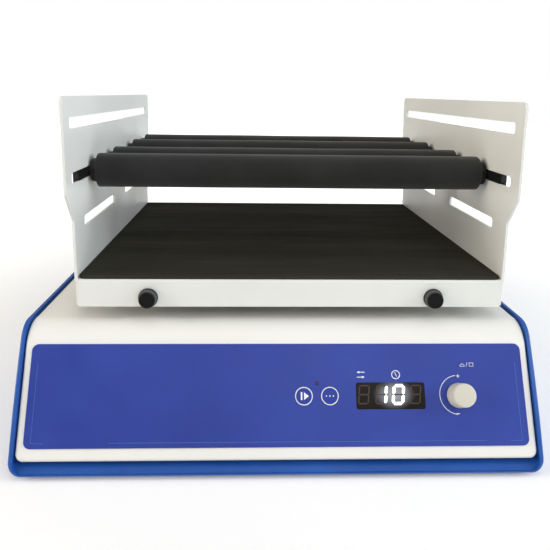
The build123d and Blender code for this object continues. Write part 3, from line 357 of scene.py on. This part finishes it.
def lathe(bm, profile, origin, axes, count=96, twist=None):
    """Revolves (radius, height) points, in millimetres, about the third of the axes.

    twist(angle, radius, height) may return a changed radius. Ends on the axis are closed.
    """
    rings = []
    for radius, height in profile:
        if radius <= 0.0:
            rings.append([bm.verts.new(origin + axes @ Vector((0.0, 0.0, height)) * MM)])
            continue
        ring = []
        for k in range(count):
            angle = 2 * pi * k / count
            r = twist(angle, radius, height) if twist else radius
            local = Vector((r * cos(angle), r * sin(angle), height))
            ring.append(bm.verts.new(origin + axes @ local * MM))
        rings.append(ring)
    for low, high in zip(rings, rings[1:]):
        for k in range(count):
            after = (k + 1) % count
            if len(low) == 1:
                bm.faces.new((low[0], high[after], high[k]))
            elif len(high) == 1:
                bm.faces.new((low[k], low[after], high[0]))
            else:
                bm.faces.new((low[k], low[after], high[after], high[k]))


def arc_points(center, radius, start, end, count):
    """Points of an arc in the panel's plane, angles in degrees."""
    cx, cs = center
    step = (end - start) / (count - 1)
    return [(cx + radius * cos(radians(start + step * k)),
             cs + radius * sin(radians(start + step * k))) for k in range(count)]


def plate(bm, outline, low, high):
    """Thin plate on the front from a convex or simple outline of (x, s) points."""
    bottom = [bm.verts.new(on_front(x, s, low)) for x, s in outline]
    top = [bm.verts.new(on_front(x, s, high)) for x, s in outline]
    bm.faces.new(top)
    bm.faces.new(list(reversed(bottom)))
    for k in range(len(outline)):
        after = (k + 1) % len(outline)
        bm.faces.new((bottom[k], bottom[after], top[after], top[k]))


def stroke(bm, points, width, low, high, closed=False):
    """Ribbon of even width along (x, s) points, with mitred corners."""
    count = len(points)
    left, right = [], []
    for k in range(count):
        before = points[k - 1] if closed or k else points[k]
        after = points[(k + 1) % count] if closed or k < count - 1 else points[k]
        here = points[k]
        d1 = Vector((here[0] - before[0], here[1] - before[1]))
        d2 = Vector((after[0] - here[0], after[1] - here[1]))
        if d1.length < 1e-9:
            d1 = d2
        if d2.length < 1e-9:
            d2 = d1
        d1.normalize()
        d2.normalize()
        n1 = Vector((-d1.y, d1.x))
        n2 = Vector((-d2.y, d2.x))
        miter = (n1 + n2).normalized()
        reach = width / 2 / max(0.35, miter.dot(n1))
        left.append((here[0] + miter.x * reach, here[1] + miter.y * reach))
        right.append((here[0] - miter.x * reach, here[1] - miter.y * reach))
    rows = []
    for side, lift in ((left, low), (right, low), (right, high), (left, high)):
        rows.append([bm.verts.new(on_front(x, s, lift)) for x, s in side])
    spans = count if closed else count - 1
    for k in range(spans):
        after = (k + 1) % count
        for a in range(4):
            b = (a + 1) % 4
            bm.faces.new((rows[a][k], rows[a][after], rows[b][after], rows[b][k]))
    if not closed:
        for k in (0, count - 1):
            bm.faces.new([row[k] for row in rows])


# ---------------------------------------------------------------- panel graphics
# Millimetres on the sloped front. A sign's place is its middle, as (x, s).
INK_LOW = PANEL_LIFT
INK_HIGH = PANEL_LIFT + 0.06
INK_OVERLAP = 0.005         # a stroke that crosses another stands this much higher
SIGN_LINE = 0.5
RING_LINE = 0.6
FINE_LINE = 0.45

ARROWS_AT = (61.6, 71.0)
ARROW_HALF = 3.05
ARROW_HEAD = 2.1
ARROW_BARB = 0.85
ARROW_ROW = 1.8             # each arrow's height above or below the middle

CLOCK_AT = (88.3, 70.9)
CLOCK_RADIUS = 3.0
CLOCK_HANDS = ((-0.5, 1.8), (0.0, 0.0), (0.9, -1.3))

PLUS_AT = (136.1, 69.8)
MINUS_AT = (134.2, 42.4)
SIGN_HALF = 1.3             # half the length of a bar of the plus and the minus

KNOB_ARC_S = CONTROL_S + 0.5
KNOB_ARC_RADIUS = 14.2
KNOB_ARC = (96, 264)        # degrees
KNOB_ARC_LINE = 0.42

KEY_RING_RADIUS = 6.27
PAUSE_X = -1.8              # the bar, from the middle of the start key
PAUSE_LINE = 1.15
PLAY_LEFT = 0.1
PLAY_RIGHT = 3.7
PLAY_HALF = 2.85
DOT_RADIUS = 0.48
DOT_PITCH = 2.6

RUN_S = 77.0
RUN_LINE = 0.28
RUN_ARCH_X = 140.0
RUN_ARCH_RADIUS = 1.7
RUN_ARCH_STEPS = 12
RUN_SQUARE = (145.6, 148.6)
RUN_SQUARE_HEIGHT = 2.5
RUN_SLASH = ((142.9, -0.4), (144.1, 2.9))   # x, and s from the foot of the signs

BORDER_X = 181.0
BORDER_LOW = 23.2
BORDER_TOP = 80.0
BORDER_LINE = 0.35
BORDER_RUNS = ((-125.0, 154.0), (-172.0, -BORDER_X), (172.5, BORDER_X))


def ink(name, draw, material=white_ink, body="housing"):
    bm = bmesh.new()
    draw(bm)
    return new_piece(name, bm, material, body)


def line(bm, points, width, closed=False, extra=0.0):
    """Printed line of the ink's thickness."""
    stroke(bm, points, width, INK_LOW, INK_HIGH + extra, closed)


def circle(bm, middle, radius, width, count):
    line(bm, arc_points(middle, radius, 0, 360 - 360 / count, count), width, closed=True)


def arrows(bm):
    """Two solid-headed arrows to and fro, one above the other."""
    x, middle = ARROWS_AT
    for row, way in ((ARROW_ROW, -1), (-ARROW_ROW, 1)):
        s = middle + row
        neck = x + way * (ARROW_HALF - ARROW_HEAD)
        line(bm, [(x - way * ARROW_HALF, s), (neck, s)], SIGN_LINE)
        head = [(neck, s - ARROW_BARB), (x + way * ARROW_HALF, s), (neck, s + ARROW_BARB)]
        plate(bm, head, INK_LOW, INK_HIGH + INK_OVERLAP)


def clock(bm):
    x, s = CLOCK_AT
    circle(bm, CLOCK_AT, CLOCK_RADIUS, RING_LINE, 48)
    line(bm, [(x + across, s + up) for across, up in CLOCK_HANDS], SIGN_LINE)


def plus_sign(bm):
    x, s = PLUS_AT
    line(bm, [(x - SIGN_HALF, s), (x + SIGN_HALF, s)], FINE_LINE)
    line(bm, [(x, s - SIGN_HALF), (x, s + SIGN_HALF)], FINE_LINE, extra=INK_OVERLAP)


def minus_sign(bm):
    x, s = MINUS_AT
    line(bm, [(x - SIGN_HALF, s), (x + SIGN_HALF, s)], FINE_LINE)


def knob_arc(bm):
    line(bm, arc_points((KNOB_X, KNOB_ARC_S), KNOB_ARC_RADIUS, *KNOB_ARC, 56), KNOB_ARC_LINE)


def key_ring(x):
    def draw(bm):
        circle(bm, (x, CONTROL_S), KEY_RING_RADIUS, RING_LINE, 60)
    return draw


def play_pause(bm):
    x, low, high = START_X, CONTROL_S - PLAY_HALF, CONTROL_S + PLAY_HALF
    line(bm, [(x + PAUSE_X, low), (x + PAUSE_X, high)], PAUSE_LINE)
    triangle = [(x + PLAY_LEFT, low), (x + PLAY_RIGHT, CONTROL_S), (x + PLAY_LEFT, high)]
    plate(bm, triangle, INK_LOW, INK_HIGH)


def mode_dots(bm):
    """Three plain dots on the mode key."""
    for x in (MODE_X - DOT_PITCH, MODE_X, MODE_X + DOT_PITCH):
        plate(bm, arc_points((x, CONTROL_S), DOT_RADIUS, 0, 345, 24), INK_LOW, INK_HIGH)


def run_shapes(bm):
    """Round and square run signs with a stroke between them."""
    arch = arc_points((RUN_ARCH_X, RUN_S), RUN_ARCH_RADIUS, 0, 180, RUN_ARCH_STEPS + 1)
    (left, right), top = RUN_SQUARE, RUN_S + RUN_SQUARE_HEIGHT
    line(bm, arch, RUN_LINE, closed=True)
    line(bm, [(left, RUN_S), (left, top), (right, top), (right, RUN_S)], RUN_LINE, closed=True)
    line(bm, [(x, RUN_S + up) for x, up in RUN_SLASH], RUN_LINE)


def inset_border(bm):
    """Fine line just inside the panel's edge, open where the name plates would be."""
    for start, end in BORDER_RUNS:
        points = [(start, BORDER_LOW), (end, BORDER_LOW)]
        if abs(end) == BORDER_X:
            points.append((end, BORDER_TOP))
        line(bm, points, BORDER_LINE)


ink("print_arrows", arrows)
ink("print_clock", clock)
ink("print_plus", plus_sign)
ink("print_minus", minus_sign)
ink("print_arc", knob_arc)
ink("print_start_ring", key_ring(START_X), body="start_key")
ink("print_mode_ring", key_ring(MODE_X), body="mode_key")
ink("print_play", play_pause, body="start_key")
ink("print_mode_dots", mode_dots, body="mode_key")
ink("print_run_shapes", run_shapes)
ink("print_border", inset_border, faint_ink)


# ---------------------------------------------------------------- display digits
DIGIT_HALF_WIDTH = 3.65
DIGIT_HALF_HEIGHT = 6.5
DIGIT_S = CONTROL_S + 0.9
DIGIT_SLANT = 0.11
DIGIT_PLACES = (63.5, 76.6, 89.7, 102.7)
SEGMENT_GAP = 0.2           # a bar stops this far from the digit's corner
DIM_HALF = 0.45             # half the width of an unlit bar
LIT_HALF = 1.05
SEGMENTS = {
    "a": ((-1, 1), (1, 1)), "b": ((1, 1), (1, 0)), "c": ((1, 0), (1, -1)),
    "d": ((1, -1), (-1, -1)), "e": ((-1, -1), (-1, 0)), "f": ((-1, 0), (-1, 1)),
    "g": ((-1, 0), (1, 0)),
}
DIGIT_TEXT = (" ", "1", "0", " ")
LIT = {" ": "", "1": "bc", "0": "abcdef"}


def segment_outline(center, ends, half):
    """Slanted six-cornered segment bar between two of a digit's corners."""
    (ax, ay), (bx, by) = ends
    start = Vector((ax * DIGIT_HALF_WIDTH, ay * DIGIT_HALF_HEIGHT))
    end = Vector((bx * DIGIT_HALF_WIDTH, by * DIGIT_HALF_HEIGHT))
    along = (end - start).normalized()
    side = Vector((-along.y, along.x))
    start += along * SEGMENT_GAP
    end -= along * SEGMENT_GAP
    local = [start, start + (along + side) * half, end - (along - side) * half,
             end, end - (along + side) * half, start + (along - side) * half]
    return [(center[0] + p.x + p.y * DIGIT_SLANT, center[1] + p.y) for p in local]


def digit_bars(lit, half):
    def draw(bm):
        for place, char in zip(DIGIT_PLACES, DIGIT_TEXT):
            for key, ends in SEGMENTS.items():
                if (key in LIT[char]) == lit:
                    outline = segment_outline((place, DIGIT_S), ends, half)
                    plate(bm, outline, INK_LOW, INK_HIGH)
    return draw


ink("display_dim_segments", digit_bars(False, DIM_HALF), dim_segment)
ink("display_lit_segments", digit_bars(True, LIT_HALF), lit_segment)

# ---------------------------------------------------------------- knob
# Millimetres: (radius, height above the knob's lower end), from the foot to the middle of
# the face, with the sharp edges broken.
KNOB_LOW = 2.2              # the knob's lower end above the cover
KNOB_OUTLINE = ((0.0, 0.0), (8.9, 0.0), (9.25, 0.35), (9.15, 2.0), (8.62, 13.6),
                (8.45, 14.3), (8.0, 14.75), (7.2, 14.93), (0.0, 15.0))
STEM_RADIUS = 2.98
STEM_LOW = -11.5
STEM_HIGH = KNOB_LOW + 4.0


def push_turn_knob():
    """Smooth knob with the stem that it sits on."""
    foot = on_front(KNOB_X, CONTROL_S, 0.0)
    stem = ((0.0, STEM_LOW), (STEM_RADIUS, STEM_LOW), (STEM_RADIUS, STEM_HIGH), (0.0, STEM_HIGH))
    bm = bmesh.new()
    lathe(bm, [(radius, KNOB_LOW + height) for radius, height in KNOB_OUTLINE], foot,
          FRONT_AXES, 96)
    lathe(bm, stem, foot, FRONT_AXES, 48)
    knob = new_piece("push_turn_knob", bm, knob_plastic, "knob", 50)
    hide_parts("control_knob")


push_turn_knob()

# ---------------------------------------------------------------- ribbed mat
MAT_RIB = 3.0
MAT_RIB_HEIGHT = 0.7
MAT_CORNER = 4.5
MAT_RIB_SHAPE = ((0.0, -1.0), (0.18, 0.0), (0.42, 0.0), (0.6, -1.0))    # shares of pitch, height


def ribbed_mat():
    """Rubber mat with ribs along X inside its rounded outline."""
    low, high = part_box("grip_mat")
    bm = bmesh.new()
    half_depth = (high.y - low.y) / 2 / MM
    half_width = (high.x - low.x) / 2 / MM
    middle = (low + high) / 2
    count = round(2 * half_depth / MAT_RIB)
    pitch = 2 * half_depth / count

    def half_span(y):
        past = abs(y) - (half_depth - MAT_CORNER)
        if past <= 0:
            return half_width
        return half_width - MAT_CORNER + (MAT_CORNER ** 2 - min(past, MAT_CORNER) ** 2) ** 0.5

    rows = []
    for k in range(count):
        for part, drop in MAT_RIB_SHAPE:
            y = -half_depth + pitch * (k + part)
            rows.append((y, high.z + drop * MAT_RIB_HEIGHT * MM))
    rows.append((half_depth, high.z - MAT_RIB_HEIGHT * MM))
    top, bottom = [], []
    for y, z in rows:
        span = half_span(y)
        places = [(-span, y), (span, y)]
        top.append([bm.verts.new((middle.x + x * MM, middle.y + v * MM, z)) for x, v in places])
        bottom.append([bm.verts.new((middle.x + x * MM, middle.y + v * MM, low.z))
                       for x, v in places])
    for a, b in zip(range(len(rows)), range(1, len(rows))):
        bm.faces.new((top[a][0], top[a][1], top[b][1], top[b][0]))
        bm.faces.new((bottom[a][0], bottom[b][0], bottom[b][1], bottom[a][1]))
        for side in (0, 1):
            bm.faces.new((top[a][side], top[b][side], bottom[b][side], bottom[a][side]))
    for end in (0, len(rows) - 1):
        bm.faces.new((top[end][0], top[end][1], bottom[end][1], bottom[end][0]))
    mat = new_piece("ribbed_mat", bm, mat_rubber, "carriage")
    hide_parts("grip_mat")


ribbed_mat()

# ---------------------------------------------------------------- foam sleeves
SLEEVE_RADIUS = 14.2
SLEEVE_CHAMFER = 1.6
SLEEVE_SHOULDER = 1.6
SLEEVE_BORE = 8.0
SLEEVE_SKIN = 0.5           # the skin within this of the radius is uneven
SLEEVE_UNEVEN = 0.1
SLEEVE_WAVE = 0.05          # waves along the sleeve, radians per millimetre
SLEEVE_PHASE = 1.7          # shifts the waves from roller to roller
SLEEVE_END_RUN = 2.0        # the even run stops this far from the shoulder
SLEEVE_STATIONS = 20        # steps along half a sleeve
SHOULDER_STEPS = 8
ROLLER_AXES = Matrix(((0.0, 0.0, 1.0), (1.0, 0.0, 0.0), (0.0, 1.0, 0.0)))


def foam_sleeve(number):
    """Soft sleeve with rounded shoulders and a very slightly uneven skin."""
    low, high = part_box(f"roller_{number}_sleeve")
    middle = (low + high) / 2
    half = (high.x - low.x) / 2 / MM
    phase = SLEEVE_PHASE * number

    def uneven(angle, radius, height):
        if radius < SLEEVE_RADIUS - SLEEVE_SKIN:
            return radius
        wave = sin(height * SLEEVE_WAVE + phase) * cos(2 * angle + phase)
        return radius - SLEEVE_UNEVEN + SLEEVE_UNEVEN * wave

    end_face = [(SLEEVE_BORE, half)]
    for k in range(SHOULDER_STEPS + 1):
        angle = pi / 2 * k / SHOULDER_STEPS
        end_face.append((SLEEVE_RADIUS - SLEEVE_SHOULDER * (1 - sin(angle)),
                         half - SLEEVE_CHAMFER * (1 - cos(angle))))
    run = half - SLEEVE_CHAMFER - SLEEVE_END_RUN
    stations = [(SLEEVE_RADIUS, run * (k / SLEEVE_STATIONS - 1))
                for k in range(2 * SLEEVE_STATIONS + 1)]
    profile = [(r, -h) for r, h in end_face] + stations
    profile += [(r, h) for r, h in reversed(end_face)]
    bm = bmesh.new()
    lathe(bm, profile, middle, ROLLER_AXES, 72, uneven)
    bore = [(SLEEVE_BORE, -half), (SLEEVE_BORE, half)]
    lathe(bm, bore, middle, ROLLER_AXES, 72)
    bmesh.ops.remove_doubles(bm, verts=bm.verts, dist=1e-6)
    sleeve = new_piece(f"foam_sleeve_{number}", bm, foam_rubber, f"roller_{number}_roll",
                       50)
    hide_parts(f"roller_{number}_sleeve")


for number in ROLLERS:
    foam_sleeve(number)

# ---------------------------------------------------------------- floor, light, camera
FLOOR_HALF = 6.0

floor_bm = bmesh.new()
bmesh.ops.create_grid(floor_bm, x_segments=1, y_segments=1, size=FLOOR_HALF)
floor_mesh = bpy.data.meshes.new("floor")
floor_bm.to_mesh(floor_mesh)
floor_bm.free()
floor = bpy.data.objects.new("floor", floor_mesh)
bpy.context.scene.collection.objects.link(floor)

floor_paint = finish("floor_paint", (0.9, 0.9, 0.9), 0.6, vary=0.01, patch=2.0, grain=300.0,
                     bump=0.02, specular=0.2)
floor_mesh.materials.append(floor_paint)


FLOOR_GLOW_NEAR = 0.16          # glow of the floor beside the object
FLOOR_GLOW_REACH = (0.3, 1.5)   # metres from the middle over which the glow rises to full


def whiten_floor():
    """Lifts the floor to white away from the object, for the eye and for glossy surfaces."""
    tree = floor_paint.node_tree
    coord = tree.nodes.new("ShaderNodeTexCoord")
    reach = vector_math(tree, "LENGTH", coord.outputs["Object"])
    lift = spread(tree, reach, FLOOR_GLOW_NEAR, 1.0, *FLOOR_GLOW_REACH)
    path = tree.nodes.new("ShaderNodeLightPath")
    eye = scalar_math(tree, "MAXIMUM", path.outputs["Is Camera Ray"],
                      path.outputs["Is Glossy Ray"])
    strength = scalar_math(tree, "MULTIPLY", lift.outputs["Result"], eye)
    shader = tree.nodes["Principled BSDF"]
    shader.inputs["Emission Color"].default_value = (1.0, 1.0, 1.0, 1.0)
    tree.links.new(strength, shader.inputs["Emission Strength"])


whiten_floor()

ROOM_LIGHT = 0.4
ROOM_LEFT = (0.86, 0.81, 0.71, 1.0)     # the room's light turns from warm on the left
ROOM_RIGHT = (1.12, 1.17, 1.22, 1.0)    # to cool on the right
ROOM_TURN = 0.9                         # over this much of the way to each side


def studio_world():
    """Soft room light, with plain white behind the object where it is seen directly."""
    world = bpy.data.worlds.new("studio")
    bpy.context.scene.world = world
    world.use_nodes = True
    tree = world.node_tree
    tree.nodes.clear()
    light_path = tree.nodes.new("ShaderNodeLightPath")
    soft = add_node(tree, "ShaderNodeBackground", Strength=ROOM_LIGHT)
    side = tree.nodes.new("ShaderNodeTexCoord")
    axis = tree.nodes.new("ShaderNodeSeparateXYZ")
    tree.links.new(side.outputs["Generated"], axis.inputs["Vector"])
    across = spread(tree, axis.outputs["X"], 0.0, 1.0, -ROOM_TURN, ROOM_TURN)
    room = tree.nodes.new("ShaderNodeMix")
    room.data_type = "RGBA"
    room.inputs[6].default_value = ROOM_LEFT
    room.inputs[7].default_value = ROOM_RIGHT
    tree.links.new(across.outputs["Result"], room.inputs["Factor"])
    tree.links.new(room.outputs[2], soft.inputs["Color"])
    white = (1.0, 1.0, 1.0, 1.0)
    backdrop = add_node(tree, "ShaderNodeBackground", Color=white, Strength=1.0)
    seen = scalar_math(tree, "MAXIMUM", light_path.outputs["Is Camera Ray"],
                       light_path.outputs["Is Transmission Ray"])
    blend = tree.nodes.new("ShaderNodeMixShader")
    out = tree.nodes.new("ShaderNodeOutputWorld")
    tree.links.new(seen, blend.inputs["Fac"])
    tree.links.new(soft.outputs["Background"], blend.inputs[1])
    tree.links.new(backdrop.outputs["Background"], blend.inputs[2])
    tree.links.new(blend.outputs["Shader"], out.inputs["Surface"])


studio_world()


def area_light(name, place, size, power, color=(1.0, 1.0, 1.0)):
    """Rectangular lamp turned to the object's middle; metres and watts."""
    data = bpy.data.lights.new(name, "AREA")
    data.shape = "RECTANGLE"
    data.size, data.size_y = size
    data.energy = power
    data.color = color
    lamp = bpy.data.objects.new(name, data)
    lamp.location = place
    direction = Vector(LAMP_TARGET) - Vector(place)
    lamp.rotation_euler = direction.to_track_quat("-Z", "Y").to_euler()
    bpy.context.scene.collection.objects.link(lamp)


LAMP_TARGET = (0.0, 0.0, 0.12)
COOL = (0.9, 0.96, 1.0)
WARM = (1.0, 0.91, 0.79)
area_light("window_right", (1.8, -0.5, 0.75), (1.2, 0.9), 20.5, COOL)
area_light("fill_left", (-1.8, -0.5, 0.75), (1.2, 0.9), 21.5, WARM)
area_light("front_key", (0.4, -1.75, 1.3), (1.2, 0.8), 9.0)
area_light("overhead", (0.1, -0.6, 1.9), (0.9, 0.6), 3.0)

# Camera fitted to the photograph. PHOTO, FOCAL and PRINCIPAL are in the photo's pixels,
# STATION is in metres and SENSOR in millimetres.
SENSOR = 36.0
PHOTO = 550.0
FOCAL = 628.5
PRINCIPAL = (275.0, 215.0)
YAW, PITCH, ROLL = radians(2.19), radians(10.99), radians(0.78)
STATION = Vector((-0.0220, -0.6215, 0.2759))

forward = Vector((sin(YAW) * cos(PITCH), cos(YAW) * cos(PITCH), -sin(PITCH)))
level = forward.cross(Vector((0.0, 0.0, 1.0))).normalized()
upright = level.cross(forward)
right_axis = level * cos(ROLL) + upright * sin(ROLL)
up_axis = upright * cos(ROLL) - level * sin(ROLL)
camera_data = bpy.data.cameras.new("camera")
camera_data.sensor_width = SENSOR
camera_data.lens = FOCAL / PHOTO * SENSOR
camera_data.shift_x = (PHOTO / 2 - PRINCIPAL[0]) / PHOTO
camera_data.shift_y = (PRINCIPAL[1] - PHOTO / 2) / PHOTO
camera_data.clip_start = 0.01
camera = bpy.data.objects.new("camera", camera_data)
axes = Matrix((right_axis, up_axis, -forward)).transposed()
camera.matrix_world = Matrix.Translation(STATION) @ axes.to_4x4()
bpy.context.scene.collection.objects.link(camera)
bpy.context.scene.camera = camera
bpy.context.scene.view_settings.view_transform = "Standard"
